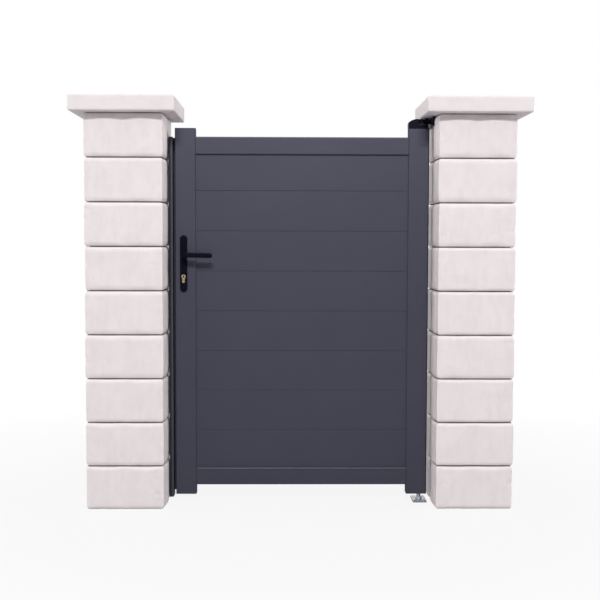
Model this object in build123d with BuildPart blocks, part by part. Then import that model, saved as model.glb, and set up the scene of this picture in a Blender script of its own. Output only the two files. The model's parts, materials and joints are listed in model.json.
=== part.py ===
from build123d import *
import os

# All sizes in millimetres. X runs along the opening, Y away from the viewer, Z up from the ground.

# Masonry pillars: rock-faced precast blocks and a flat coping slab on each
opening_width = 1020.0
course_count = 9
course_height = 167.0
bed_size = 280.0
boss_depth = 16.0
margin_along = 30.0
margin_up = 20.0
cap_overhang = 57.0
cap_height = 60.0
cap_edge = 3.0

# Leaf frame of aluminium extrusions with a channel for the boards
hinge_gap = 11.0
latch_gap = 9.0
leaf_bottom_z = 29.0
stile_width = 80.0
frame_depth = 40.0
frame_radius = 4.0
tube_wall = 2.5
channel_depth = 12.0
groove_inset = 13.0
groove_width = 3.0
groove_depth = 1.2
rail_height = 68.0
top_rail_drop = 33.0
bottom_rail_rise = 37.0
end_cap_thickness = 3.0

# Horizontal boards with V joints, tongued into each other and let into the frame
board_count = 8
top_board_height = 139.0
bottom_board_height = 149.0
board_thickness = 24.0
board_v = 1.0
board_wall = 2.2
board_seat = 10.0
board_play = 0.2
tongue_thickness = 10.0
tongue_height = 7.0

# Pivot line of the leaf and its foot bearing
pivot_inset = 27.0
foot_width = 54.0
foot_depth = 90.0
foot_thickness = 6.0
foot_corner = 4.0
foot_collar_radius = 13.0
foot_collar_height = 6.0
foot_hole_radius = 4.5
foot_hole_pitch_x = 36.0
foot_hole_pitch_y = 70.0
foot_pin_radius = 8.0
foot_pin_seat = 2.0
foot_pin_reach = 15.0
pin_play = 0.1
plug_height = 30.0
plug_bore_depth = 16.0

# Top hinge: shoe on the stile, bracket on the pillar, pin between them
hinge_pin_radius = 6.0
hinge_pin_reach = 7.0
shoe_flange = 3.0
shoe_low_height = 15.0
shoe_end_drop = 13.0
shoe_crown_drop = 3.5
shoe_crown_inset = 16.0
shoe_end_round = 6.0
shoe_setback = 15.0
running_gap = 5.0
bearing_radius = 26.0
arm_thickness = 18.0
arm_eye_radius = 15.0
arm_width = 18.0
bracket_plate_thickness = 6.0
bracket_plate_depth = 150.0
bracket_plate_lap = 3.0
bracket_plate_corner = 5.0
adjuster_reach = 20.0
adjuster_radius = 8.5
adjuster_height = 4.0
adjuster_clearance = 2.0

# Stop profile on the latch pillar: a box web and a lip behind the latch stile
stop_web_width = 15.0
stop_wall = 2.5
stop_depth = 52.0
stop_lip_thickness = 6.0
stop_lip_gap = 6.0
stop_lip_lap = 10.0
stop_bottom_z = 18.0
stop_top_drop = 34.0
stop_lip_short = 18.0

# Lever handle set and lock cylinder
handle_inset = 33.0
lever_z = 970.0
cylinder_drop = 85.0
plate_width = 27.5
plate_height = 219.5
plate_above_lever = 75.0
plate_thickness = 8.0
plate_edge = 2.0
lever_play = 1.0
lever_height = 19.0
lever_thickness = 14.0
lever_edge = 3.5
lever_tip = 3.0
lever_bend = 15.0
lever_reach = 42.0
lever_length = 114.0
lever_fall = 3.0
spindle_size = 8.0
spindle_hole_radius = 6.5
cylinder_radius = 8.5
cylinder_lobe_radius = 5.0
cylinder_lobe_drop = 19.5
cylinder_proud = 3.0
keyway_width = 1.6
keyway_height = 8.0
keyway_depth = 2.0

# Places that follow from the sizes above
pillar_height = course_count * course_height
boss_size = bed_size + 2 * boss_depth
boss_length = bed_size - 2 * margin_along
boss_height = course_height - 2 * margin_up
pillar_inner_x = opening_width / 2
pillar_centre_x = pillar_inner_x + boss_size / 2
cap_size = bed_size + 2 * cap_overhang
leaf_left_x = stop_web_width + latch_gap - pillar_inner_x
leaf_right_x = pillar_inner_x - hinge_gap
shoe_high_height = shoe_low_height + running_gap + arm_thickness
leaf_top_z = pillar_height - adjuster_clearance - adjuster_height - shoe_high_height
leaf_height = leaf_top_z - leaf_bottom_z
latch_inner_x = leaf_left_x + stile_width
hinge_inner_x = leaf_right_x - stile_width
field_length = hinge_inner_x - latch_inner_x
latch_stile_x = leaf_left_x + stile_width / 2
hinge_stile_x = leaf_right_x - stile_width / 2
half_depth = frame_depth / 2
inner_radius = frame_radius - tube_wall
channel_width = board_thickness + 2 * board_play
cell_width = stile_width - channel_depth - 2 * tube_wall
cell_depth = frame_depth - 2 * tube_wall
rail_cell_height = rail_height - channel_depth - 2 * tube_wall
top_rail_top_z = leaf_top_z - top_rail_drop
top_rail_bottom_z = top_rail_top_z - rail_height
bottom_rail_bottom_z = leaf_bottom_z + bottom_rail_rise
bottom_rail_top_z = bottom_rail_bottom_z + rail_height
field_height = top_rail_bottom_z - bottom_rail_top_z
board_pitch = (field_height - top_board_height - bottom_board_height) / (board_count - 2)
pivot_x = leaf_right_x - pivot_inset
handle_x = leaf_left_x + handle_inset
cylinder_z = lever_z - cylinder_drop
plate_middle_z = lever_z + plate_above_lever - plate_height / 2
plate_outer_y = half_depth + plate_thickness
lever_start_y = plate_outer_y + lever_play
lever_axis_y = lever_start_y + lever_reach
os.makedirs("parts", exist_ok=True)

# Pillar blocks: straight arrises, with a rock-face boss standing proud of each side between its margins
for side_name, side_x in (("left", -pillar_centre_x), ("right", pillar_centre_x)):
    for course in range(course_count):
        bed_z = course * course_height
        with BuildPart() as block:
            with BuildSketch(Plane.XY.offset(bed_z)):
                with Locations((side_x, 0)):
                    Rectangle(bed_size, bed_size)
                    Rectangle(boss_size, boss_length)
                    Rectangle(boss_length, boss_size)
                make_hull()
            extrude(amount=course_height)
            for flank_plane, flank_x in ((Plane.XZ, side_x), (Plane.YZ.offset(side_x), 0)):
                with BuildSketch(flank_plane):
                    with Locations((flank_x, bed_z + course_height / 2)):
                        Rectangle(bed_size, course_height)
                        Rectangle(boss_size, boss_height)
                    make_hull()
                extrude(amount=boss_size, both=True, mode=Mode.INTERSECT)
        block.part.label = f"{side_name}_block_{course + 1}"
        export_step(block.part, f"parts/{side_name}_block_{course + 1}.step")

# Coping slab on each pillar
for side_name, side_x in (("left", -pillar_centre_x), ("right", pillar_centre_x)):
    with BuildPart() as cap:
        with BuildSketch(Plane.XY.offset(pillar_height)):
            with Locations((side_x, 0)):
                Rectangle(cap_size, cap_size)
        extrude(amount=cap_height)
        chamfer(cap.edges(), length=cap_edge)
    cap.part.label = f"{side_name}_cap"
    export_step(cap.part, f"parts/{side_name}_cap.step")

# Latch stile: hollow extrusion with the board channel, between its two end caps
with BuildPart() as latch_stile:
    with BuildSketch(Plane.XY.offset(leaf_bottom_z + end_cap_thickness)):
        with Locations((latch_stile_x, 0)):
            RectangleRounded(stile_width, frame_depth, frame_radius)
        with Locations((leaf_left_x + tube_wall + cell_width / 2, 0)):
            RectangleRounded(cell_width, cell_depth, inner_radius, mode=Mode.SUBTRACT)
        with Locations((latch_inner_x - channel_depth / 2, 0)):
            Rectangle(channel_depth, channel_width, mode=Mode.SUBTRACT)
        with Locations((leaf_left_x + groove_inset, -half_depth), (leaf_left_x + groove_inset, half_depth)):
            Rectangle(groove_width, 2 * groove_depth, mode=Mode.SUBTRACT)
    extrude(amount=leaf_height - 2 * end_cap_thickness)
    with BuildSketch(Plane.XZ):
        with Locations((handle_x, lever_z)):
            Circle(spindle_hole_radius)
        with Locations((handle_x, cylinder_z)):
            Circle(cylinder_radius)
        with Locations((handle_x, cylinder_z - cylinder_lobe_drop / 2)):
            Rectangle(2 * cylinder_lobe_radius, cylinder_lobe_drop)
        with Locations((handle_x, cylinder_z - cylinder_lobe_drop)):
            Circle(cylinder_lobe_radius)
    extrude(amount=frame_depth, both=True, mode=Mode.SUBTRACT)
latch_stile.part.label = "latch_stile"
export_step(latch_stile.part, "parts/latch_stile.step")

# End caps of the latch stile
for end_name, end_z in (("bottom", leaf_bottom_z), ("top", leaf_top_z - end_cap_thickness)):
    with BuildPart() as end_cap:
        with BuildSketch(Plane.XY.offset(end_z)):
            with Locations((latch_stile_x, 0)):
                RectangleRounded(stile_width, frame_depth, frame_radius)
        extrude(amount=end_cap_thickness)
    end_cap.part.label = f"latch_stile_{end_name}_cap"
    export_step(end_cap.part, f"parts/latch_stile_{end_name}_cap.step")

# Hinge stile: the same extrusion the other way round, open at both ends for plug and shoe
with BuildPart() as hinge_stile:
    with BuildSketch(Plane.XY.offset(leaf_bottom_z)):
        with Locations((hinge_stile_x, 0)):
            RectangleRounded(stile_width, frame_depth, frame_radius)
        with Locations((leaf_right_x - tube_wall - cell_width / 2, 0)):
            RectangleRounded(cell_width, cell_depth, inner_radius, mode=Mode.SUBTRACT)
        with Locations((hinge_inner_x + channel_depth / 2, 0)):
            Rectangle(channel_depth, channel_width, mode=Mode.SUBTRACT)
        with Locations((leaf_right_x - groove_inset, -half_depth), (leaf_right_x - groove_inset, half_depth)):
            Rectangle(groove_width, 2 * groove_depth, mode=Mode.SUBTRACT)
    extrude(amount=leaf_height)
hinge_stile.part.label = "hinge_stile"
export_step(hinge_stile.part, "parts/hinge_stile.step")

# Bearing plug in the foot of the hinge stile, with a blind bore for the foot pin
with BuildPart() as hinge_stile_plug:
    with BuildSketch(Plane.XY.offset(leaf_bottom_z)):
        with Locations((leaf_right_x - tube_wall - cell_width / 2, 0)):
            RectangleRounded(cell_width, cell_depth, inner_radius)
    extrude(amount=plug_height)
    with BuildSketch(Plane.XY.offset(leaf_bottom_z)):
        with Locations((pivot_x, 0)):
            Circle(foot_pin_radius + pin_play)
    extrude(amount=plug_bore_depth, mode=Mode.SUBTRACT)
hinge_stile_plug.part.label = "hinge_stile_plug"
export_step(hinge_stile_plug.part, "parts/hinge_stile_plug.step")

# Top rail, channel below
with BuildPart() as top_rail:
    with BuildSketch(Plane.YZ.offset(latch_inner_x)):
        with Locations((0, top_rail_top_z - rail_height / 2)):
            RectangleRounded(frame_depth, rail_height, frame_radius)
        with Locations((0, top_rail_top_z - tube_wall - rail_cell_height / 2)):
            RectangleRounded(cell_depth, rail_cell_height, inner_radius, mode=Mode.SUBTRACT)
        with Locations((0, top_rail_bottom_z + channel_depth / 2)):
            Rectangle(channel_width, channel_depth, mode=Mode.SUBTRACT)
    extrude(amount=field_length)
top_rail.part.label = "top_rail"
export_step(top_rail.part, "parts/top_rail.step")

# Bottom rail, channel above
with BuildPart() as bottom_rail:
    with BuildSketch(Plane.YZ.offset(latch_inner_x)):
        with Locations((0, bottom_rail_bottom_z + rail_height / 2)):
            RectangleRounded(frame_depth, rail_height, frame_radius)
        with Locations((0, bottom_rail_bottom_z + tube_wall + rail_cell_height / 2)):
            RectangleRounded(cell_depth, rail_cell_height, inner_radius, mode=Mode.SUBTRACT)
        with Locations((0, bottom_rail_top_z - channel_depth / 2)):
            Rectangle(channel_width, channel_depth, mode=Mode.SUBTRACT)
    extrude(amount=field_length)
bottom_rail.part.label = "bottom_rail"
export_step(bottom_rail.part, "parts/bottom_rail.step")

# Boards, counted from the top: hollow, each with a tongue up into the board above it
for number in range(board_count):
    board_top_z = top_rail_bottom_z - top_board_height - (number - 1) * board_pitch
    board_bottom_z = board_top_z - board_pitch
    if number == 0:
        board_top_z = top_rail_bottom_z + board_seat
    if number == board_count - 1:
        board_bottom_z = bottom_rail_top_z - channel_depth
    board_height = board_top_z - board_bottom_z
    socket_height = tongue_height + board_play
    cell_bottom_z = board_bottom_z + socket_height + board_wall
    cell_height = board_top_z - board_wall - cell_bottom_z
    with BuildPart() as board:
        with BuildSketch(Plane.YZ.offset(latch_inner_x - board_seat)) as section:
            with Locations((0, (board_top_z + board_bottom_z) / 2)):
                Rectangle(board_thickness, board_height)
            chamfer(section.vertices(), length=board_v)
            if number > 0:
                with Locations((0, board_top_z + tongue_height / 2)):
                    Rectangle(tongue_thickness, tongue_height)
            if number < board_count - 1:
                with Locations((0, board_bottom_z + socket_height / 2)):
                    Rectangle(tongue_thickness + 2 * board_play, socket_height, mode=Mode.SUBTRACT)
            with Locations((0, cell_bottom_z + cell_height / 2)):
                Rectangle(board_thickness - 2 * board_wall, cell_height, mode=Mode.SUBTRACT)
        extrude(amount=field_length + 2 * board_seat)
    board.part.label = f"board_{number + 1}"
    export_step(board.part, f"parts/board_{number + 1}.step")

# Long backplates of the handle set, round-ended, with the spindle and cylinder holes
for face_name, face_y, rank in (("front", half_depth, 0), ("rear", -plate_outer_y, -1)):
    with BuildPart() as backplate:
        with BuildSketch(Plane.XZ.offset(face_y)):
            with Locations((handle_x, plate_middle_z)):
                SlotOverall(plate_height, plate_width, rotation=90)
        extrude(amount=plate_thickness)
        chamfer(backplate.faces().sort_by(Axis.Y)[rank].edges(), length=plate_edge)
        with BuildSketch(Plane.XZ):
            with Locations((handle_x, lever_z)):
                Circle(spindle_hole_radius)
            with Locations((handle_x, cylinder_z)):
                Circle(cylinder_radius)
            with Locations((handle_x, cylinder_z - cylinder_lobe_drop / 2)):
                Rectangle(2 * cylinder_lobe_radius, cylinder_lobe_drop)
            with Locations((handle_x, cylinder_z - cylinder_lobe_drop)):
                Circle(cylinder_lobe_radius)
        extrude(amount=frame_depth, both=True, mode=Mode.SUBTRACT)
    backplate.part.label = f"{face_name}_backplate"
    export_step(backplate.part, f"parts/{face_name}_backplate.step")

# Lock cylinder of the pear-shaped profile, with a keyway in each end
cylinder_half_length = plate_outer_y + cylinder_proud
with BuildPart() as lock_cylinder:
    with BuildSketch(Plane.XZ):
        with Locations((handle_x, cylinder_z)):
            Circle(cylinder_radius)
        with Locations((handle_x, cylinder_z - cylinder_lobe_drop / 2)):
            Rectangle(2 * cylinder_lobe_radius, cylinder_lobe_drop)
        with Locations((handle_x, cylinder_z - cylinder_lobe_drop)):
            Circle(cylinder_lobe_radius)
    extrude(amount=cylinder_half_length, both=True)
    for keyway_y in (cylinder_half_length - keyway_depth, -cylinder_half_length):
        with BuildSketch(Plane.XZ.offset(keyway_y)):
            with Locations((handle_x, cylinder_z)):
                Rectangle(keyway_width, keyway_height)
        extrude(amount=keyway_depth, mode=Mode.SUBTRACT)
lock_cylinder.part.label = "lock_cylinder"
export_step(lock_cylinder.part, "parts/lock_cylinder.step")

# Square spindle joining the two levers
with BuildPart() as lever_spindle:
    with BuildSketch(Plane.XZ):
        with Locations((handle_x, lever_z)):
            Rectangle(spindle_size, spindle_size)
    extrude(amount=lever_start_y, both=True)
lever_spindle.part.label = "lever_spindle"
export_step(lever_spindle.part, "parts/lever_spindle.step")

# Levers: a bar with broken edges bent from the spindle line into the grip, on the front and on the rear
for face_name, out in (("front", -1), ("rear", 1)):
    with BuildPart() as lever:
        with BuildLine():
            FilletPolyline(
                (handle_x, out * lever_start_y, lever_z),
                (handle_x, out * lever_axis_y, lever_z),
                (handle_x + lever_length, out * lever_axis_y, lever_z - lever_fall),
                radius=lever_bend,
            )
        neck_plane = Plane((handle_x, out * lever_start_y, lever_z), x_dir=(1, 0, 0), z_dir=(0, out, 0))
        with BuildSketch(neck_plane) as bar_section:
            Rectangle(lever_thickness, lever_height)
            chamfer(bar_section.vertices(), length=lever_edge)
        sweep()
        chamfer(lever.faces().sort_by(Axis.X)[-1].edges(), length=lever_tip)
    lever.part.label = f"{face_name}_lever"
    export_step(lever.part, f"parts/{face_name}_lever.step")

# Stop profile: box web against the pillar face, lip behind the latch stile, lip shorter at the foot
stop_back_y = half_depth + stop_lip_gap + stop_lip_thickness
stop_web_x = stop_web_width / 2 - pillar_inner_x
stop_lip_width = latch_gap + stop_lip_lap
stop_height = leaf_top_z - stop_top_drop - stop_bottom_z
with BuildPart() as stop_profile:
    with BuildSketch(Plane.XY.offset(stop_bottom_z)):
        with Locations((stop_web_x, stop_back_y - stop_depth / 2)):
            Rectangle(stop_web_width, stop_depth)
            Rectangle(stop_web_width - 2 * stop_wall, stop_depth - 2 * stop_wall, mode=Mode.SUBTRACT)
    extrude(amount=stop_height)
    with BuildSketch(Plane.XY.offset(stop_bottom_z + stop_lip_short)):
        with Locations((leaf_left_x - latch_gap + stop_lip_width / 2, stop_back_y - stop_lip_thickness / 2)):
            Rectangle(stop_lip_width, stop_lip_thickness)
    extrude(amount=stop_height - stop_lip_short)
stop_profile.part.label = "stop_profile"
export_step(stop_profile.part, "parts/stop_profile.step")

# Hinge shoe closing the top of the hinge stile: low bearing round the pin, raised crowned end
shoe_end_x = pivot_x - shoe_setback
shoe_base_z = leaf_top_z + shoe_flange
shoe_low_top_z = leaf_top_z + shoe_low_height
shoe_high_top_z = leaf_top_z + shoe_high_height
with BuildPart() as hinge_shoe:
    with BuildSketch(Plane.XY.offset(leaf_top_z)):
        with Locations((hinge_stile_x, 0)):
            RectangleRounded(stile_width, frame_depth, frame_radius)
    extrude(amount=shoe_flange)
    with BuildSketch(Plane.XY.offset(shoe_base_z)):
        with Locations((pivot_x, 0)):
            Circle(bearing_radius)
        with Locations(((hinge_inner_x + pivot_x) / 2, 0)):
            Rectangle(pivot_x - hinge_inner_x, 2 * bearing_radius)
        with Locations((hinge_stile_x, 0)):
            Rectangle(stile_width, frame_depth, mode=Mode.INTERSECT)
    extrude(amount=shoe_low_height - shoe_flange)
    with BuildSketch(Plane.XZ):
        with BuildLine():
            Polyline(
                (hinge_inner_x, shoe_high_top_z - shoe_end_drop),
                (hinge_inner_x, shoe_base_z),
                (shoe_end_x, shoe_base_z),
                (shoe_end_x, shoe_high_top_z),
            )
            ThreePointArc(
                (shoe_end_x, shoe_high_top_z),
                (hinge_inner_x + shoe_crown_inset, shoe_high_top_z - shoe_crown_drop),
                (hinge_inner_x, shoe_high_top_z - shoe_end_drop),
            )
        make_face()
    extrude(amount=half_depth, both=True)
    with BuildSketch(Plane.XY.offset(shoe_low_top_z)):
        with Locations((pivot_x, 0)):
            Circle(arm_eye_radius + running_gap)
    extrude(amount=shoe_high_height, mode=Mode.SUBTRACT)
    with BuildSketch(Plane.XY.offset(leaf_top_z)):
        with Locations((pivot_x, 0)):
            Circle(hinge_pin_radius + pin_play)
    extrude(amount=shoe_low_height, mode=Mode.SUBTRACT)
    crown_end = hinge_shoe.edges().filter_by(Axis.Y).group_by(Axis.X)[0].sort_by(Axis.Z)[-1]
    fillet(crown_end, radius=shoe_end_round)
hinge_shoe.part.label = "hinge_shoe"
export_step(hinge_shoe.part, "parts/hinge_shoe.step")

# Hinge bracket: plate on the pillar face, arm with an eye over the pivot line
arm_bottom_z = shoe_low_top_z + running_gap
arm_top_z = arm_bottom_z + arm_thickness
bracket_bottom_z = shoe_base_z + running_gap
bracket_plate_height = arm_top_z + bracket_plate_lap - bracket_bottom_z
with BuildPart() as hinge_bracket:
    with BuildSketch(Plane.YZ.offset(pillar_inner_x - bracket_plate_thickness)):
        with Locations((0, bracket_bottom_z + bracket_plate_height / 2)):
            RectangleRounded(bracket_plate_depth, bracket_plate_height, bracket_plate_corner)
    extrude(amount=bracket_plate_thickness)
    with BuildSketch(Plane.XY.offset(arm_bottom_z)):
        with Locations((pivot_x, 0)):
            Circle(arm_eye_radius)
        with Locations(((pivot_x + pillar_inner_x) / 2, 0)):
            Rectangle(pillar_inner_x - pivot_x, arm_width)
        with Locations((pivot_x, 0)):
            Circle(hinge_pin_radius, mode=Mode.SUBTRACT)
    extrude(amount=arm_thickness)
hinge_bracket.part.label = "hinge_bracket"
export_step(hinge_bracket.part, "parts/hinge_bracket.step")

# Hinge pin held in the eye of the bracket, running in the shoe
with BuildPart() as hinge_pin:
    with BuildSketch(Plane.XY.offset(leaf_top_z - hinge_pin_reach)):
        with Locations((pivot_x, 0)):
            Circle(hinge_pin_radius)
    extrude(amount=arm_top_z - leaf_top_z + hinge_pin_reach)
hinge_pin.part.label = "hinge_pin"
export_step(hinge_pin.part, "parts/hinge_pin.step")

# Hexagon head of the adjusting screw on top of the arm
with BuildPart() as hinge_adjuster:
    with BuildSketch(Plane.XY.offset(arm_top_z)):
        with Locations((pivot_x + adjuster_reach, 0)):
            RegularPolygon(adjuster_radius, 6)
    extrude(amount=adjuster_height)
hinge_adjuster.part.label = "hinge_adjuster"
export_step(hinge_adjuster.part, "parts/hinge_adjuster.step")

# Foot plate on the ground with its collar and four anchor holes
with BuildPart() as foot_plate:
    with BuildSketch(Plane.XY):
        with Locations((pivot_x, 0)):
            RectangleRounded(foot_width, foot_depth, foot_corner)
            with GridLocations(foot_hole_pitch_x, foot_hole_pitch_y, 2, 2):
                Circle(foot_hole_radius, mode=Mode.SUBTRACT)
    extrude(amount=foot_thickness)
    with BuildSketch(Plane.XY.offset(foot_thickness)):
        with Locations((pivot_x, 0)):
            Circle(foot_collar_radius)
    extrude(amount=foot_collar_height)
    with BuildSketch(Plane.XY.offset(foot_pin_seat)):
        with Locations((pivot_x, 0)):
            Circle(foot_pin_radius)
    extrude(amount=foot_thickness + foot_collar_height, mode=Mode.SUBTRACT)
foot_plate.part.label = "foot_plate"
export_step(foot_plate.part, "parts/foot_plate.step")

# Foot pin carrying the leaf
with BuildPart() as foot_pin:
    with BuildSketch(Plane.XY.offset(foot_pin_seat)):
        with Locations((pivot_x, 0)):
            Circle(foot_pin_radius)
    extrude(amount=leaf_bottom_z + foot_pin_reach - foot_pin_seat)
foot_pin.part.label = "foot_pin"
export_step(foot_pin.part, "parts/foot_pin.step")
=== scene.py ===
import json
import bpy
import numpy as np
from mathutils import Matrix, Vector


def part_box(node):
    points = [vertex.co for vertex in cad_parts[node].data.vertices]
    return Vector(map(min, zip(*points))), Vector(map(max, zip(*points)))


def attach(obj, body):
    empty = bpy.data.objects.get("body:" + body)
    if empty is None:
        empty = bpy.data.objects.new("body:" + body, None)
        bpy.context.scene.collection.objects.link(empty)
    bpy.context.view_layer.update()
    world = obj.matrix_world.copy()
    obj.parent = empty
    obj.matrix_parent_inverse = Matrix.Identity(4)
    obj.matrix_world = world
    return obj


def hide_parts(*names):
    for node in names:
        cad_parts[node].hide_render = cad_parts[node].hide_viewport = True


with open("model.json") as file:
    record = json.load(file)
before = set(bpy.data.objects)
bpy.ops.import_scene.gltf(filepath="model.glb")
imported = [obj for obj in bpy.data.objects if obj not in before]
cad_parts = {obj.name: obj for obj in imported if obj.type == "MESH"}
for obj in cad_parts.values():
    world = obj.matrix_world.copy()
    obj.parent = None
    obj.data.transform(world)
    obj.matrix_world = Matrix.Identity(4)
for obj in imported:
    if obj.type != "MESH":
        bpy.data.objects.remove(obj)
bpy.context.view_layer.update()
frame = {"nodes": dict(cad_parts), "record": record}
nodes = frame["nodes"]
print("frame loaded:", len(nodes), "nodes")


def linearColour(hexText):  # sRGB hex to linear RGBA
    level = np.array([int(hexText[i:i + 2], 16) for i in (1, 3, 5)]) / 255
    linear = np.where(level <= 0.04045, level / 12.92, ((level + 0.055) / 1.055) ** 2.4)
    return (*linear.tolist(), 1.0)


def addNode(tree, kind, inputs=None, **settings):  # one node, its settings, and its values or links
    node = tree.nodes.new(kind)
    for name, value in settings.items():
        setattr(node, name, value)
    for name, value in (inputs or {}).items():
        if isinstance(value, bpy.types.NodeSocket):
            tree.links.new(value, node.inputs[name])
        else:
            node.inputs[name].default_value = value
    return node


def newMaterial(name):  # a node tree with its shader, its output and the Object coordinates
    material = bpy.data.materials.new(name)
    material.use_nodes = True
    tree = material.node_tree
    tree.nodes.clear()
    shader = addNode(tree, "ShaderNodeBsdfPrincipled")
    addNode(tree, "ShaderNodeOutputMaterial", {"Surface": shader.outputs["BSDF"]})
    place = addNode(tree, "ShaderNodeTexCoord").outputs["Object"]
    return material, tree, shader, place


# Cast stone, wet-cast in moulds: pale, matt and softly mottled, with sand grain and dark joints;
# the pale rims along the joints are a painted highlight
# The real grain is about 1 mm and is drawn coarser so that it shows
# rim is the colour of the painted highlight along the joints
castStoneLook = dict(body="#E4DBDC", pale="#E7DFE0", warm="#E0D6D6", rim="#FAF7F7", joint="#8A7972",
                     mottle=0.085, mottleBand=(0.35, 0.7), cloud=0.024, cloudBand=(0.45, 0.8), sand=0.0035,
                     drawn=0.4, roughness=0.92, level=0.2, cloudDepth=0.0005, sandDepth=0.00025)
# Coping stone, the same mix struck off smooth: finer and less matt
copingLook = dict(castStoneLook, body="#E2DADB", pale="#E5DEDE", warm="#DED5D6", mottle=0.12, cloud=0.03,
                  sand=0.003, drawn=1.0, roughness=0.85, level=0.3, cloudDepth=0.0003, sandDepth=0.0002)


def stoneFinish(name, look):
    material, tree, shader, place = newMaterial(name)
    streaked = addNode(tree, "ShaderNodeMapping",
                       {"Vector": place, "Scale": (1, 1, look["drawn"])}).outputs[0]
    mottle = addNode(tree, "ShaderNodeTexNoise",
                     {"Vector": place, "Scale": 1 / look["mottle"], "Detail": 4.0}).outputs["Fac"]
    cloud = addNode(tree, "ShaderNodeTexNoise",
                    {"Vector": streaked, "Scale": 1 / look["cloud"], "Detail": 5.0}).outputs["Fac"]
    sand = addNode(tree, "ShaderNodeTexNoise",
                   {"Vector": place, "Scale": 1 / look["sand"], "Detail": 2.0}).outputs["Fac"]
    (mottleLow, mottleHigh), (cloudLow, cloudHigh) = look["mottleBand"], look["cloudBand"]
    paleShare = addNode(tree, "ShaderNodeMapRange",
                        {"Value": mottle, "From Min": mottleLow, "From Max": mottleHigh}).outputs[0]
    warmShare = addNode(tree, "ShaderNodeMapRange",
                        {"Value": cloud, "From Min": cloudLow, "From Max": cloudHigh}).outputs[0]
    # painted highlight: the rim attribute lightens the face next to each joint towards the rim colour
    highlightShare = addNode(tree, "ShaderNodeAttribute", attribute_name="rim").outputs["Fac"]
    jointShare = addNode(tree, "ShaderNodeAttribute", attribute_name="joint").outputs["Fac"]
    colour = linearColour(look["body"])
    for share, key in ((paleShare, "pale"), (warmShare, "warm"), (highlightShare, "rim"), (jointShare, "joint")):
        colour = addNode(tree, "ShaderNodeMix", {0: share, 6: colour, 7: linearColour(look[key])},
                         data_type="RGBA").outputs[2]
    tree.links.new(colour, shader.inputs["Base Color"])
    shader.inputs["Roughness"].default_value = look["roughness"]
    shader.inputs["Specular IOR Level"].default_value = look["level"]
    dents = addNode(tree, "ShaderNodeBump",
                    {"Height": cloud, "Distance": look["cloudDepth"], "Strength": 1.0}).outputs[0]
    grit = addNode(tree, "ShaderNodeBump",
                   {"Height": sand, "Distance": look["sandDepth"], "Strength": 1.0, "Normal": dents})
    tree.links.new(grit.outputs[0], shader.inputs["Normal"])
    return material


# Powder coat, sprayed dry and baked: satin with a fine sanded peel
# The real peel is about 0.3 mm and is drawn coarser so that it shows
leafCoatLook = dict(body="#2B2B36", lighter="#2E2E39", drift=0.16, driftBand=(0.35, 0.7), peel=0.0022,
                    peelBand=(0.3, 0.7), depth=0.00006, roughness=0.48, spread=0.05, level=1.0,
                    tint="#E4E4FF")
hingeCoatLook = dict(leafCoatLook, body="#0F1019", lighter="#14151F", depth=0.00005, roughness=0.45, level=0.1,
                     tint="#DADAFF")
# Satin enamel on a cast handle: smoother and blacker
handleCoatLook = dict(leafCoatLook, body="#0D0E18", lighter="#10111B", peel=0.0018, depth=0.00003,
                      roughness=0.45, level=0.06, tint="#D0D0FF")
# Moulded nylon: matt black with a faint skin
nylonLook = dict(leafCoatLook, body="#18181A", lighter="#202022", peel=0.0015, depth=0.00004, roughness=0.6,
                 level=0.4, tint="#FFFFFF")


def coatFinish(name, look):
    material, tree, shader, place = newMaterial(name)
    (driftLow, driftHigh), (peelLow, peelHigh) = look["driftBand"], look["peelBand"]
    drift = addNode(tree, "ShaderNodeTexNoise",
                    {"Vector": place, "Scale": 1 / look["drift"], "Detail": 3.0}).outputs["Fac"]
    wornShare = addNode(tree, "ShaderNodeMapRange",
                        {"Value": drift, "From Min": driftLow, "From Max": driftHigh}).outputs[0]
    colour = addNode(tree, "ShaderNodeMix", {0: wornShare, 6: linearColour(look["body"]),
                                             7: linearColour(look["lighter"])}, data_type="RGBA")
    tree.links.new(colour.outputs[2], shader.inputs["Base Color"])
    peel = addNode(tree, "ShaderNodeTexNoise",
                   {"Vector": place, "Scale": 1 / look["peel"], "Detail": 2.0}).outputs["Fac"]
    gloss = addNode(tree, "ShaderNodeMapRange", {"Value": peel, "From Min": peelLow, "From Max": peelHigh,
                                                 "To Min": look["roughness"] - look["spread"],
                                                 "To Max": look["roughness"] + look["spread"]})
    tree.links.new(gloss.outputs[0], shader.inputs["Roughness"])
    shader.inputs["Specular IOR Level"].default_value = look["level"]
    shader.inputs["Specular Tint"].default_value = linearColour(look["tint"])
    bump = addNode(tree, "ShaderNodeBump", {"Height": peel, "Distance": look["depth"], "Strength": 1.0})
    tree.links.new(bump.outputs[0], shader.inputs["Normal"])
    return material


# Nickel on brass, polished and handled: warm and bright
brassLook = dict(body="#E4CFA6", shade="#D3B98A", flower=0.004, roughness=0.3, spread=0.08)
# Drawn steel: plain and grey
steelLook = dict(brassLook, body="#A9ABAD", shade="#9B9DA0", flower=0.003, roughness=0.35)
# Zinc from the dip: grey flowers
zincLook = dict(brassLook, body="#D2D6D9", shade="#B9BEC3", flower=0.007, roughness=0.42)


def metalFinish(name, look):
    material, tree, shader, place = newMaterial(name)
    cells = addNode(tree, "ShaderNodeTexVoronoi", {"Vector": place, "Scale": 1 / look["flower"]})
    share = addNode(tree, "ShaderNodeSeparateColor", {"Color": cells.outputs["Color"]})
    colour = addNode(tree, "ShaderNodeMix", {0: share.outputs["Red"], 6: linearColour(look["body"]),
                                             7: linearColour(look["shade"])}, data_type="RGBA")
    tree.links.new(colour.outputs[2], shader.inputs["Base Color"])
    shader.inputs["Metallic"].default_value = 1.0
    gloss = addNode(tree, "ShaderNodeMapRange", {"Value": share.outputs["Green"],
                                                 "To Min": look["roughness"] - look["spread"],
                                                 "To Max": look["roughness"] + look["spread"]})
    tree.links.new(gloss.outputs[0], shader.inputs["Roughness"])
    return material


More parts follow.
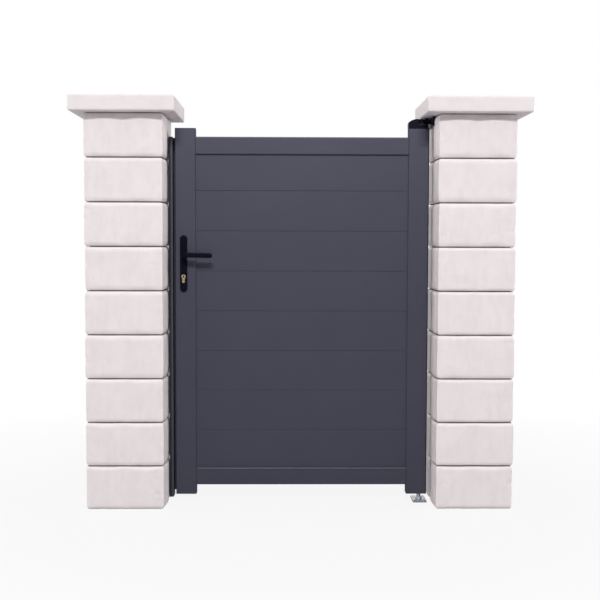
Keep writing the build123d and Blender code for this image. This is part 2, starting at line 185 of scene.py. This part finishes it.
finishes = {
    "cast_stone": stoneFinish("wet-cast stone", castStoneLook),
    "coping_stone": stoneFinish("struck coping stone", copingLook),
    "anthracite_aluminium": coatFinish("anthracite powder coat", leafCoatLook),
    "black_hinge": coatFinish("black powder coat", hingeCoatLook),
    "black_handle": coatFinish("black satin enamel", handleCoatLook),
    "bearing_plastic": coatFinish("black moulded nylon", nylonLook),
    "cylinder_brass": metalFinish("nickel-plated brass", brassLook),
    "spindle_steel": metalFinish("bright drawn steel", steelLook),
    "galvanised_steel": metalFinish("hot-dip galvanised steel", zincLook),
}
for row in frame["record"]["subparts"]:
    for slot in nodes[row["node"]].material_slots:
        slot.material = finishes[row["material_slot"]]
print("finishes made:", len(finishes))

sharpAngle = 0.9  # edges that turn by more radians than this stay crisp


def newPiece(name, points, faces, slotName, body, replaced=()):
    mesh = bpy.data.meshes.new(name)
    mesh.from_pydata(points.reshape(-1, 3), [], faces)
    mesh.shade_smooth()
    mesh.set_sharp_from_angle(angle=sharpAngle)
    mesh.materials.append(finishes[slotName])
    piece = bpy.data.objects.new(name, mesh)
    bpy.context.scene.collection.objects.link(piece)
    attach(piece, body)
    if replaced:
        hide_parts(*replaced)
    return piece


def carried(section, run):  # a section of points (a, b) repeated along the run, as rows of (a, b, run)
    rows = np.broadcast_to(section, (len(run), *section.shape))
    return np.concatenate([rows, np.broadcast_to(run[:, None, None], (len(run), len(section), 1))], -1)


def capped(grid):  # the rows' points, then the middle of the first row and of the last
    return np.concatenate([grid.reshape(-1, 3), grid[[0, -1]].mean(1)])


def stackFaces(rows, columns, flipped=False):  # quads between closed rings, and a fan at each end
    ring = np.arange(columns)
    after = (ring + 1) % columns
    lower = (np.arange(rows - 1) * columns)[:, None]
    quads = np.stack([lower + ring, lower + after, lower + columns + after, lower + columns + ring], -1)
    last = (rows - 1) * columns
    foot = np.stack([after, ring, np.full(columns, rows * columns)], -1)
    head = np.stack([last + ring, last + after, np.full(columns, rows * columns + 1)], -1)
    faces = quads.reshape(-1, 4).tolist() + foot.tolist() + head.tolist()
    return [face[::-1] for face in faces] if flipped else faces


def bunched(steps, share):  # -1 to 1, closer towards the ends: (1 - share) * e + share * sin(e * 90)
    even = np.linspace(-1, 1, steps)
    return (1 - share) * even + share * np.sin(even * np.pi / 2)


def squareRing(half, radius, sideSteps, cornerSteps, bunching):
    # One side x = half, y from -run to run, then a quarter circle at its end, turned four times
    run = half - radius
    straight = run * bunched(sideSteps, bunching)
    turn = np.linspace(0, np.pi / 2, cornerSteps + 2)[1:-1]
    side = np.stack([np.concatenate([np.full(sideSteps, half), run + radius * np.cos(turn)]),
                     np.concatenate([straight, run + radius * np.sin(turn)])], -1)
    facing = np.stack([np.concatenate([np.ones(sideSteps), np.cos(turn)]),
                       np.concatenate([np.zeros(sideSteps), np.sin(turn)])], -1)
    along = np.concatenate([straight, np.full(cornerSteps, half)])
    quarter = np.array([[0, -1], [1, 0]])
    spins = [np.linalg.matrix_power(quarter, k).T for k in range(4)]
    ring = np.concatenate([side @ spin for spin in spins])
    outward = np.concatenate([facing @ spin for spin in spins])
    return ring, outward, np.tile(along, 4), np.repeat(np.arange(4), len(along))


def latticeNoise(place, cell, seed, size=24):
    # Random values from -1 to 1 at the corners of a cubic lattice, blended by 3t^2 - 2t^3 along each axis
    table = np.random.default_rng(seed).uniform(-1, 1, (size, size, size))
    scaled = place / cell
    base = np.floor(scaled).astype(int)
    t = ramp(scaled - base)
    total = np.zeros(place.shape[:-1])
    for corner in np.ndindex(2, 2, 2):
        weight = np.prod(np.where(corner, t, 1 - t), axis=-1)
        index = (base + corner) % size
        total += weight * table[index[..., 0], index[..., 1], index[..., 2]]
    return total


def crown(edge):  # quarter-circle rise from 0 at an edge to 1 at the end of its margin
    short = np.clip(edge, 0, 1)
    return np.sqrt(1 - (1 - short) ** 2)


def ramp(edge):  # gentle rise 3t^2 - 2t^3 from 0 at an edge to 1 at the end of its margin
    short = np.clip(edge, 0, 1)
    return short * short * (3 - 2 * short)


# Pillar blocks: rock face between drafted margins, dry joints with broken arrises
# highlightShare and highlightFade set the painted highlight along the joints
blockLook = dict(boss=0.016, marginAlong=(0.055, 0.085), marginUp=(0.013, 0.024), cornerShare=(0.34, 0.52),
                 bossShare=(0.82, 0.95), seamShare=(0.30, 0.50), seamWidth=0.028, arris=0.0035,
                 jointGap=0.0010, jointReach=0.010, jointFade=0.0012, bedLift=0.95, bedFlare=1.005,
                 highlightShare=0.8, highlightFade=0.005, sideSteps=48, sideBunching=0.45, cornerSteps=3,
                 rowSteps=42, rowBunching=0.4, rough=((0.09, 0.0010), (0.034, 0.0006), (0.012, 0.0003)),
                 marginRough=0.15, chip=0.0044, chipCell=0.02, chipFloor=0.35, deepest=0.004,
                 stride=0.7, seed=41, roughSeed=287, chipSeed=44)


def rockBlock(name, number):
    # A square ring carried up the course and swollen by the factor 1 + s / half, least at the corners:
    # s = boss * crown(up) * (corner + ramp(along) * (share - corner - dip)) + noise,
    # with dip = share * seam * exp(-(a / width)^2) for the seam in the middle of a face
    look = blockLook
    low, high = (np.array(corner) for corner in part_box(name))
    centre, height = (low + high) / 2, high[2] - low[2]
    half = (high[0] - low[0]) / 2 - look["boss"]
    ring, _, along, side = squareRing(half, look["arris"], look["sideSteps"], look["cornerSteps"],
                                      look["sideBunching"])
    rng = np.random.default_rng(look["seed"] + number)
    faceKeys = ("marginAlong", "bossShare", "seamShare")  # one draw for each of the four faces
    marginAlong, share, seam = (rng.uniform(*look[key], 4)[side] for key in faceKeys)
    marginUp, corner = (rng.uniform(*look[key]) for key in ("marginUp", "cornerShare"))
    rise = height / 2 + (height / 2 - look["jointGap"]) * bunched(look["rowSteps"], look["rowBunching"])
    edgeUp = np.minimum(rise - rise[0], rise[-1] - rise)[:, None]
    rounded = crown(edgeUp / marginUp)
    fullness = ramp((half - np.abs(along)) / marginAlong)
    cover = rounded * (corner + (1 - corner) * fullness)
    dip = share * seam * np.exp(-(along / look["seamWidth"]) ** 2)
    swell = look["boss"] * rounded * (corner + fullness * (share - corner - dip))
    place = carried(ring, rise)
    noisePlace = place + number * look["stride"]
    roughShare = look["marginRough"] + (1 - look["marginRough"]) * cover
    for step, (cell, depth) in enumerate(look["rough"]):
        swell += roughShare * depth * latticeNoise(noisePlace, cell, look["roughSeed"] + step)
    chips = np.clip(latticeNoise(noisePlace, look["chipCell"], look["chipSeed"]) - look["chipFloor"], 0, 1)
    swell -= (1 - cover) * chips * look["chip"]
    swell = np.clip(swell, -look["deepest"], look["boss"])
    wall = np.concatenate([ring * (1 + swell[..., None] / half), place[..., 2:]], -1)
    lip = look["jointGap"] * look["bedLift"]
    beds = carried(ring * (1 - look["jointReach"] / half), np.array([0, lip, height - lip, height]))
    beds[1:3, :, :2] *= look["bedFlare"]
    grid = np.concatenate([beds[:2], wall, beds[2:]])
    points = capped(grid) + [centre[0], centre[1], low[2]]
    faces = stackFaces(len(grid), len(ring))
    piece = newPiece(name + "_stone", points, faces, "cast_stone", "pillars", [name])
    bed = np.ones((2, len(ring)))
    # joint: the beds and the face within about a millimetre of each joint are darkened towards the joint
    # colour
    jointTint = np.broadcast_to(np.exp(-edgeUp / look["jointFade"]), swell.shape)
    # painted highlight: the face within a few millimetres of each joint is lightened towards the rim colour
    lighter = np.broadcast_to(look["highlightShare"] * np.exp(-(edgeUp / look["highlightFade"]) ** 2), swell.shape)
    joint = np.concatenate([bed, jointTint, bed])
    rim = np.concatenate([0 * bed, lighter, 0 * bed])
    for key, value in (("joint", joint), ("rim", rim)):
        attribute = piece.data.attributes.new(key, "FLOAT", "POINT")
        values = np.concatenate([value.reshape(-1), value[[0, -1], 0]])
        attribute.data.foreach_set("value", values.astype(np.float32))


blockNames = sorted(name for name in nodes if "_block_" in name)
for number, name in enumerate(blockNames):
    rockBlock(name, number)
print("blocks made:", len(blockNames))


# Coping slabs: smooth cast, rounded edges, a slight waviness
capLook = dict(edge=0.006, flat=0.95, edgeSteps=5, sideSteps=48, sideBunching=0.45, cornerSteps=4,
               sideRows=9, wave=0.0009, waveCell=0.11, seed=5)


def copingSlab(name, number):
    # A square ring carried up the slab, with rounded edges drawn in by edge * (1 - sin t) at the rise
    # edge * (1 - cos t), and faces that wander inwards a little
    look = capLook
    low, high = (np.array(corner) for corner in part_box(name))
    centre, height, half = (low + high) / 2, high[2] - low[2], (high[0] - low[0]) / 2
    ring, outward, _, _ = squareRing(half, look["edge"], look["sideSteps"], look["cornerSteps"],
                                     look["sideBunching"])
    turn = np.linspace(0, np.pi / 2, look["edgeSteps"])
    rise = look["edge"] * (1 - np.cos(turn))
    inset = look["edge"] * (1 - np.sin(turn))
    level = np.linspace(look["edge"], height - look["edge"], look["sideRows"])[1:-1]
    rise = np.concatenate([rise, level, height - rise[::-1]])
    inset = np.concatenate([inset, np.zeros(len(level)), inset[::-1]])
    place = carried(ring, rise)
    wander = look["wave"] * (1 + latticeNoise(place + number, look["waveCell"], look["seed"])) / 2
    wall = np.concatenate([ring - (inset[:, None] + wander)[..., None] * outward, place[..., 2:]], -1)
    beds = carried(ring * look["flat"], np.array([0, height]))
    grid = np.concatenate([beds[:1], wall, beds[1:]])
    points = capped(grid) + [centre[0], centre[1], low[2]]
    faces = stackFaces(len(grid), len(ring))
    newPiece(name + "_slab", points, faces, "coping_stone", "pillars", [name])


for number, name in enumerate(("left_cap", "right_cap")):
    copingSlab(name, number)
print("coping slabs made")


# Levers: a bar of rounded section bent out of the backplate into the grip, with a rounded tip
leverLook = dict(thick=0.014, tall=0.019, section=4.0, bend=0.015, tipSlim=0.35, tipLeast=0.0004,
                 aroundSteps=32, neckSteps=6, bendSteps=14, gripSteps=20, tipSteps=8)


def leverBar(name, out):
    # A superellipse |a|^n + |b|^n = 1 carried along neck, quarter bend and grip,
    # drawn in at the tip by sqrt(1 - t^2)
    look = leverLook
    thick, tall, bend = look["thick"], look["tall"], look["bend"]
    low, high = (np.array(corner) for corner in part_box(name))
    neckX, gripEnd = low[0] + thick / 2, high[0] - tall / 2
    start, axis = (high[1], low[1] + thick / 2) if out < 0 else (low[1], high[1] - thick / 2)
    topZ, fall = high[2] - tall / 2, (high[2] - low[2]) - tall
    turn = np.linspace(0, np.pi / 2, look["bendSteps"])[1:-1]
    grip = np.linspace(neckX + bend, gripEnd, look["gripSteps"])
    tip = gripEnd + tall / 2 * np.sin(np.linspace(0, np.pi / 2, look["tipSteps"])[1:])
    neck = np.linspace(start, axis - out * bend, look["neckSteps"])
    straight = len(grip) + len(tip)
    pathX = np.concatenate([np.full(len(neck), neckX), neckX + bend * (1 - np.cos(turn)), grip, tip])
    pathY = np.concatenate([neck, axis - out * bend * (1 - np.sin(turn)), np.full(straight, axis)])
    pathZ = topZ - fall * np.clip((pathX - neckX) / (high[0] - neckX), 0, 1)
    angle = np.concatenate([np.zeros(len(neck)), turn, np.full(straight, np.pi / 2)])[:, None]
    past = np.clip((pathX - gripEnd) / (tall / 2), 0, 1)
    shrink = np.sqrt(np.clip(1 - past ** 2, look["tipLeast"], 1))[:, None]
    slim = 1 - (1 - shrink) * look["tipSlim"]
    around = np.linspace(0, 2 * np.pi, look["aroundSteps"], endpoint=False)
    across, upright = (np.sign(wave) * np.abs(wave) ** (2 / look["section"]) * size / 2
                       for wave, size in ((np.cos(around), thick), (np.sin(around), tall)))
    grid = np.stack([pathX[:, None] + np.cos(angle) * across * slim,
                     pathY[:, None] - out * np.sin(angle) * across * slim,
                     pathZ[:, None] + upright * shrink], -1)
    faces = stackFaces(len(grid), len(around), flipped=out > 0)
    newPiece(name + "_grip", capped(grid), faces, "black_handle", "lever", [name])


leverBar("front_lever", -1)
leverBar("rear_lever", 1)
print("levers made")


# Stop shade strip: a black strip along the front edge of the stop profile, next to the pillar, painted
# shade that stands in for the dark gap there
stopShadeLook = dict(width=0.0075, proud=0.003, steps=16, rows=60)


def stopShadeStrip():
    # Half ellipse x = -w/2 * cos(t), y = -p * sin(t), closed by a flat back, carried up the profile
    look = stopShadeLook
    low, high = (np.array(corner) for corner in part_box("stop_profile"))
    web = low[0] + look["width"] / 2
    turn = np.linspace(0, np.pi, look["steps"])
    section = np.stack([web - look["width"] / 2 * np.cos(turn), low[1] - look["proud"] * np.sin(turn)], -1)
    grid = carried(section, np.linspace(low[2], high[2], look["rows"]))
    faces = stackFaces(look["rows"], len(section))
    # painted shade: a black strip where the gap beside the pillar reads dark
    newPiece("stop_shade_strip", capped(grid), faces, "bearing_plastic", "pillars")


stopShadeStrip()
print("stop seal made")


# Hinge edge shade: a black strip wrapped round the pillar edge of the hinge stile, painted shade that
# stands in for the dark edge there
hingeEdgeShadeLook = dict(radius=0.004, thick=0.0008, sunk=0.0003, steps=10, rows=60)


def hingeEdgeShade():
    # A quarter ring about the rounded edge, outer arc out and inner arc back, carried up the stile
    look = hingeEdgeShadeLook
    low, high = (np.array(corner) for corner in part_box("hinge_stile"))
    turn = np.linspace(-np.pi / 2, 0, look["steps"])
    arcs = [(look["radius"] + look["thick"], turn), (look["radius"] - look["sunk"], turn[::-1])]
    section = np.concatenate([radius * np.stack([np.cos(angle), np.sin(angle)], -1)
                              for radius, angle in arcs])
    section += [high[0] - look["radius"], low[1] + look["radius"]]
    grid = carried(section, np.linspace(low[2], high[2], look["rows"]))
    faces = stackFaces(look["rows"], len(section))
    # painted shade: a black strip where the stile edge beside the pillar reads dark
    newPiece("hinge_stile_edge_shade", capped(grid), faces, "bearing_plastic", "leaf")


hingeEdgeShade()
print("edge seal made")


# Keyway shade: a black lens over the mouth of the keyway in each end of the lock cylinder, painted shade
# that stands in for the dark of the hole
keywayShadeLook = dict(wide=0.0022, tall=0.0040, proud=0.0003, aroundSteps=28, rows=7)


def keywayShade(name, out):
    # A lens of elliptic rings: radius share (1 - s^2)^(1/4) at the depth s * proud, s from -1 to 1
    look = keywayShadeLook
    low, high = (np.array(corner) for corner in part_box("lock_cylinder"))
    radius = (high[0] - low[0]) / 2
    centre = np.array([low[0] + radius, high[1] if out > 0 else low[1], high[2] - radius])
    depth = np.sin(np.linspace(-np.pi / 2, np.pi / 2, look["rows"] + 2)[1:-1])[:, None]
    share = (1 - depth ** 2) ** 0.25
    around = np.linspace(0, 2 * np.pi, look["aroundSteps"], endpoint=False)
    grid = np.stack([look["wide"] * share * np.cos(around),
                     look["proud"] * depth * np.ones_like(around),
                     look["tall"] * share * np.sin(around)], -1)
    poles = np.array([[0, -look["proud"], 0], [0, look["proud"], 0]])
    points = np.concatenate([grid.reshape(-1, 3), poles]) + centre
    # painted shade: the lens takes the black handle finish so that the keyway reads dark
    newPiece(name, points, stackFaces(len(grid), len(around), flipped=True), "black_handle", "leaf")


keywayShade("front_keyway_shade", -1)
keywayShade("rear_keyway_shade", 1)
print("key mouths made")


# Screw heads: low domes with a six-sided socket, on the rear backplate and the plate of the hinge bracket
screwLook = dict(radius=0.0045, dome=0.0018, domeTurn=1.05, domeRows=6, socket=0.0019, deep=0.0011,
                 sunk=0.0004, aroundSteps=36, plateInset=0.016, bracketReach=0.060, bracketPlate=0.006)


def screwHead(name, centre, facing, slotName, body):
    # Rings of falling radius: dome height h * sqrt(1 - (r / R)^2),
    # then a hexagon S * cos 30 / cos(a mod 60 - 30) let into it
    look = screwLook
    around = np.linspace(0, 2 * np.pi, look["aroundSteps"], endpoint=False)
    hexagon = look["socket"] * np.cos(np.pi / 6) / np.cos(around % (np.pi / 3) - np.pi / 6)
    rim = np.full_like(around, look["radius"])
    share = np.cos(np.linspace(0, look["domeTurn"], look["domeRows"]))[:, None]
    dome = look["dome"] * np.sqrt(1 - share ** 2)
    radii = np.concatenate([[rim], share * rim, [hexagon, hexagon]])
    lift = np.concatenate([[[-look["sunk"]]], dome, dome[-1:], dome[-1:] - look["deep"]])
    normal, first = np.array(facing, float), np.array([0, 0, 1.0])
    second = np.cross(normal, first)
    grid = (radii * np.cos(around))[..., None] * first + (radii * np.sin(around))[..., None] * second
    grid += lift[..., None] * normal
    faces = stackFaces(len(grid), len(around))
    newPiece(name, capped(grid) + centre, faces, slotName, body)


def screwHeads():
    look = screwLook
    low, high = (np.array(corner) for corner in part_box("rear_backplate"))
    middle = (low[0] + high[0]) / 2
    for number, rise in enumerate((high[2] - look["plateInset"], low[2] + look["plateInset"])):
        screwHead("rear_backplate_screw_%d" % (number + 1), [middle, high[1], rise], (0, 1, 0),
                  "black_handle", "leaf")
    low, high = (np.array(corner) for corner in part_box("hinge_bracket"))
    plate, rise = high[0] - look["bracketPlate"], (low[2] + high[2]) / 2
    for number, along in enumerate((-look["bracketReach"], look["bracketReach"])):
        screwHead("hinge_bracket_screw_%d" % (number + 1), [plate, along, rise], (-1, 0, 0),
                  "black_hinge", "pillars")


screwHeads()
print("screw heads made")


# Rail bead: the small round bead of the extrusion along the top edge of the bottom rail
beadLook = dict(tall=0.0045, proud=0.0018, drop=0.0045, steps=12, rows=90)


def railBead():
    # Half ellipse y = -p * sin(t), z = h/2 * cos(t), closed by a flat back, carried along the rail
    look = beadLook
    low, high = (np.array(corner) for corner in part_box("bottom_rail"))
    turn = np.linspace(0, np.pi, look["steps"])
    section = np.stack([low[1] - look["proud"] * np.sin(turn),
                        high[2] - look["drop"] + look["tall"] / 2 * np.cos(turn)], -1)
    grid = carried(section, np.linspace(low[0], high[0], look["rows"]))
    points = np.roll(capped(grid), 1, axis=-1)  # from (y, z, x) to (x, y, z)
    faces = stackFaces(look["rows"], len(section))
    newPiece("bottom_rail_bead", points, faces, "anthracite_aluminium", "leaf")


railBead()
print("rail bead made")


# Bearing washer: a nylon ring on the pin between the shoe and the arm of the bracket
washerLook = dict(inner=0.0063, outer=0.0235, bottom=0.0154, top=0.0196, round=0.0008, cornerSteps=4,
                  steps=72)


def bearingWasher():
    # A closed section of four rounded corners (r, z) turned about the pivot line
    look = washerLook
    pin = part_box("hinge_pin")
    axisX, axisY = (pin[0][0] + pin[1][0]) / 2, (pin[0][1] + pin[1][1]) / 2
    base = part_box("hinge_stile")[1][2]
    inner, outer = look["inner"] + look["round"], look["outer"] - look["round"]
    bottom, top = look["bottom"] + look["round"], look["top"] - look["round"]
    corners = [(outer, bottom, -np.pi / 2), (outer, top, 0),
               (inner, top, np.pi / 2), (inner, bottom, np.pi)]
    quarter = np.linspace(0, np.pi / 2, look["cornerSteps"])
    radius = np.concatenate([r + look["round"] * np.cos(start + quarter) for r, z, start in corners])
    rise = np.concatenate([z + look["round"] * np.sin(start + quarter) for r, z, start in corners])
    spin = np.linspace(0, 2 * np.pi, look["steps"], endpoint=False)[:, None]
    grid = np.stack([axisX + np.cos(spin) * radius, axisY + np.sin(spin) * radius,
                     base + rise + np.zeros_like(spin)], -1)
    row, column = np.indices(grid.shape[:2])
    nextRow, nextColumn = (row + 1) % len(spin), (column + 1) % len(radius)
    loop = ((row, column), (nextRow, column), (nextRow, nextColumn), (row, nextColumn))
    faces = np.stack([r * len(radius) + c for r, c in loop], -1).reshape(-1, 4)
    newPiece("bearing_washer", grid, faces.tolist(), "bearing_plastic", "leaf")


bearingWasher()
print("bearing washer made")


# Floor: a plain pale sheet that keeps a soft shadow near the gate and runs out to white
floorLook = dict(reach=30.0, tone="#B4B4B6", glow=0.88, shadowReach=(1.0, 2.6))


def paleFloor():
    look = floorLook
    corners = look["reach"] * np.array([(-1, -1, 0), (1, -1, 0), (1, 1, 0), (-1, 1, 0)])
    mesh = bpy.data.meshes.new("pale floor")
    mesh.from_pydata(corners, [], [(0, 1, 2, 3)])
    material = bpy.data.materials.new("pale studio floor")
    material.use_nodes = True
    tree = material.node_tree
    tree.nodes.clear()
    place = addNode(tree, "ShaderNodeTexCoord").outputs["Object"]
    far = addNode(tree, "ShaderNodeVectorMath", {0: place}, operation="LENGTH").outputs["Value"]
    near, out = look["shadowReach"]
    fade = addNode(tree, "ShaderNodeMapRange",
                   {"Value": far, "From Min": near, "From Max": out, "To Min": look["glow"]}).outputs[0]
    rays = addNode(tree, "ShaderNodeLightPath").outputs
    share = addNode(tree, "ShaderNodeMath", {0: rays["Is Camera Ray"], 1: fade},
                    operation="MULTIPLY").outputs[0]
    matt = addNode(tree, "ShaderNodeBsdfDiffuse", {"Color": linearColour(look["tone"])}).outputs[0]
    white = addNode(tree, "ShaderNodeEmission", {"Strength": 1.0}).outputs[0]
    mixed = addNode(tree, "ShaderNodeMixShader", {0: share, 1: matt, 2: white}).outputs[0]
    addNode(tree, "ShaderNodeOutputMaterial", {"Surface": mixed})
    mesh.materials.append(material)
    floor = bpy.data.objects.new("pale floor", mesh)
    bpy.context.scene.collection.objects.link(floor)


paleFloor()


# Studio: a wide front light from above, white walls at the sides, a dimmer back and a darker room in front
studioLook = dict(keyPlace=(0.0, -8.0, 6.5), keyAim=(0.0, 0.0, 0.75), keyWide=3.0, keyTall=0.9,
                  keyPower=605.0, front=0.08, side=3.0, back=1.0, sideTurn=(-0.75, -0.15),
                  backTurn=(0.1, 0.5), roof=(0.35, 0.9), roofShare=0.2)


def studioLight():
    look = studioLook
    lamp = bpy.data.lights.new("front light", "AREA")
    lamp.shape = "RECTANGLE"
    lamp.size = look["keyWide"]
    lamp.size_y = look["keyTall"]
    lamp.energy = look["keyPower"]
    light = bpy.data.objects.new("front light", lamp)
    light.location = look["keyPlace"]
    aim = Vector(look["keyAim"]) - Vector(look["keyPlace"])
    light.rotation_euler = aim.to_track_quat("-Z", "Y").to_euler()
    bpy.context.scene.collection.objects.link(light)


def studioRoom():
    # Strength by heading: front to side to back along Y, dimmed towards the roof, plain white to the camera
    look = studioLook
    world = bpy.data.worlds.new("white studio")
    world.use_nodes = True
    bpy.context.scene.world = world
    tree = world.node_tree
    tree.nodes.clear()
    heading = addNode(tree, "ShaderNodeTexCoord").outputs["Generated"]
    parts = addNode(tree, "ShaderNodeSeparateXYZ", {0: heading}).outputs
    (sideBegin, sideEnd), (backBegin, backEnd) = look["sideTurn"], look["backTurn"]
    roofBegin, roofEnd = look["roof"]
    behind = addNode(tree, "ShaderNodeMapRange",
                     {"Value": parts["Y"], "From Min": sideBegin, "From Max": sideEnd}).outputs[0]
    rear = addNode(tree, "ShaderNodeMapRange",
                   {"Value": parts["Y"], "From Min": backBegin, "From Max": backEnd}).outputs[0]
    dim = addNode(tree, "ShaderNodeMapRange",
                  {"Value": parts["Z"], "From Min": roofBegin, "From Max": roofEnd,
                   "To Min": 1.0, "To Max": look["roofShare"]}).outputs[0]
    walls = addNode(tree, "ShaderNodeMix", {0: behind, 2: look["front"], 3: look["side"]},
                    data_type="FLOAT").outputs[0]
    around = addNode(tree, "ShaderNodeMix", {0: rear, 2: walls, 3: look["back"]},
                     data_type="FLOAT").outputs[0]
    room = addNode(tree, "ShaderNodeMath", {0: around, 1: dim}, operation="MULTIPLY").outputs[0]
    rays = addNode(tree, "ShaderNodeLightPath").outputs
    shiny = addNode(tree, "ShaderNodeMath", {0: rays["Is Glossy Ray"], 1: behind},
                    operation="MULTIPLY").outputs[0]
    clear = addNode(tree, "ShaderNodeMath", {0: rays["Is Camera Ray"], 1: rays["Is Transmission Ray"]},
                    operation="MAXIMUM").outputs[0]
    seen = addNode(tree, "ShaderNodeMath", {0: clear, 1: shiny}, operation="MAXIMUM").outputs[0]
    strength = addNode(tree, "ShaderNodeMix", {0: seen, 2: room, 3: 1.0}, data_type="FLOAT").outputs[0]
    sky = addNode(tree, "ShaderNodeBackground", {"Color": (1, 1, 1, 1), "Strength": strength}).outputs[0]
    addNode(tree, "ShaderNodeOutputWorld", {"Surface": sky})


studioLight()
studioRoom()


# Camera: nearly square-on to the gate, at two thirds of its height
cameraLook = dict(place=(-0.055, -4.028, 1.022), lens=61.74, sensor=36.0, down=0.0567, turn=0.0136,
                  lean=0.0026)


def photoCamera():
    look = cameraLook
    view = bpy.data.cameras.new("camera")
    view.lens = look["lens"]
    view.sensor_width = look["sensor"]
    camera = bpy.data.objects.new("camera", view)
    down, turn, lean = look["down"], look["turn"], look["lean"]
    ahead = Vector((np.sin(turn) * np.cos(down), np.cos(turn) * np.cos(down), -np.sin(down)))
    right = Vector((np.cos(turn), -np.sin(turn), 0))
    up = right.cross(ahead)
    square = Matrix((right, up, -ahead)).transposed()
    camera.rotation_euler = (square @ Matrix.Rotation(lean, 3, "Z")).to_euler()
    camera.location = look["place"]
    bpy.context.scene.collection.objects.link(camera)
    bpy.context.scene.camera = camera


photoCamera()
bpy.context.scene.view_settings.view_transform = "Standard"
print("stage, light and camera set")
